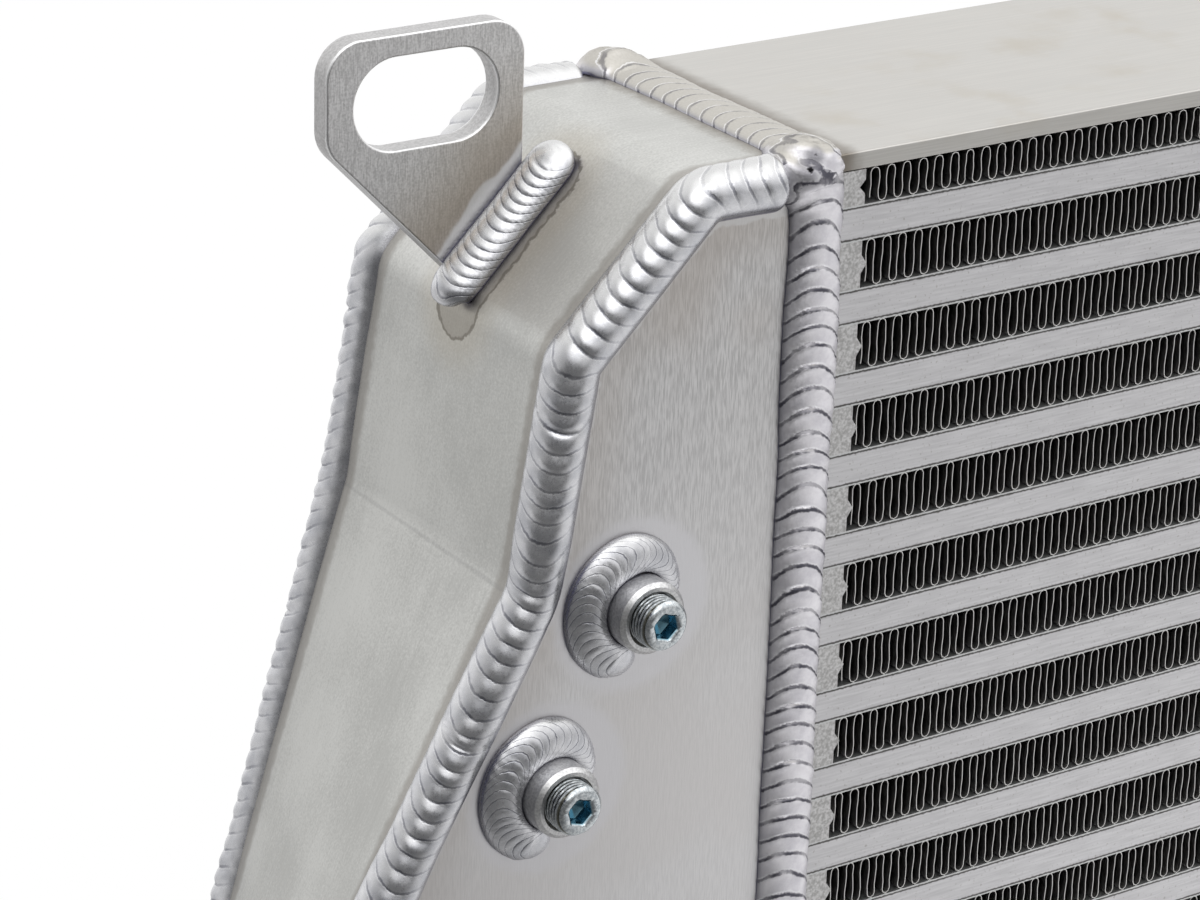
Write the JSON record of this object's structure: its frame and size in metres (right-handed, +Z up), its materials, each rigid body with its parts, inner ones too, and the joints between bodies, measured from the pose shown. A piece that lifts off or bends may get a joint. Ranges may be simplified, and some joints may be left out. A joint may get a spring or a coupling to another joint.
{
  "type": "intercooler",
  "caption": "Bar-and-plate intercooler: a finned core between welded aluminium end tanks with slanted hose necks, slotted mounting tabs and plugged sensor ports.",
  "frame": {"origin": "middle of the underside of the core's bottom plate", "axes": "+X along the core from the left tank to the right tank, -Y towards the cooling air's inlet face (the front), +Z up"},
  "size_m": [0.9506, 0.0928, 0.2901],
  "materials": {
    "fin_foil": "bare rolled foil, dark between the fins",
    "brazed_bar": "extruded bar, dull from the brazing furnace",
    "side_plate": "mill finish with a fine grain along the core",
    "tank_sheet": "fine brushed sheet",
    "weld_bead": "bright rippled weld metal",
    "turned_aluminium": "fine turned satin",
    "cut_plate": "brushed plate with blasted cut edges",
    "zinc_steel": "zinc plated with a faint blue passivation"
  },
  "bodies": {
    "root": {"air_fin_01": "fin_foil", "air_fin_02": "fin_foil", "air_fin_03": "fin_foil", "air_fin_04": "fin_foil", "air_fin_05": "fin_foil", "air_fin_06": "fin_foil", "air_fin_07": "fin_foil", "air_fin_08": "fin_foil", "air_fin_09": "fin_foil", "air_fin_10": "fin_foil", "air_fin_11": "fin_foil", "air_fin_12": "fin_foil", "air_fin_13": "fin_foil", "air_fin_14": "fin_foil", "air_fin_15": "fin_foil", "air_fin_16": "fin_foil", "charge_fins": "fin_foil", "charge_tube_01": "brazed_bar", "charge_tube_02": "brazed_bar", "charge_tube_03": "brazed_bar", "charge_tube_04": "brazed_bar", "charge_tube_05": "brazed_bar", "charge_tube_06": "brazed_bar", "charge_tube_07": "brazed_bar", "charge_tube_08": "brazed_bar", "charge_tube_09": "brazed_bar", "charge_tube_10": "brazed_bar", "charge_tube_11": "brazed_bar", "charge_tube_12": "brazed_bar", "charge_tube_13": "brazed_bar", "charge_tube_14": "brazed_bar", "charge_tube_15": "brazed_bar", "core_bottom_plate": "side_plate", "core_top_plate": "side_plate", "left_core_seam_weld": "weld_bead", "left_end_bars": "brazed_bar", "left_front_plate": "tank_sheet", "left_front_seam_weld": "weld_bead", "left_neck": "turned_aluminium", "left_neck_weld": "weld_bead", "left_port_bungs": "turned_aluminium", "left_port_plugs": "zinc_steel", "left_port_welds": "weld_bead", "left_rear_plate": "tank_sheet", "left_rear_seam_weld": "weld_bead", "left_tab": "cut_plate", "left_tab_welds": "weld_bead", "left_wrap": "tank_sheet", "right_core_seam_weld": "weld_bead", "right_end_bars": "brazed_bar", "right_front_plate": "tank_sheet", "right_front_seam_weld": "weld_bead", "right_neck": "turned_aluminium", "right_neck_weld": "weld_bead", "right_rear_plate": "tank_sheet", "right_rear_seam_weld": "weld_bead", "right_tab": "cut_plate", "right_tab_welds": "weld_bead", "right_wrap": "tank_sheet"}
  },
  "joints": []
}
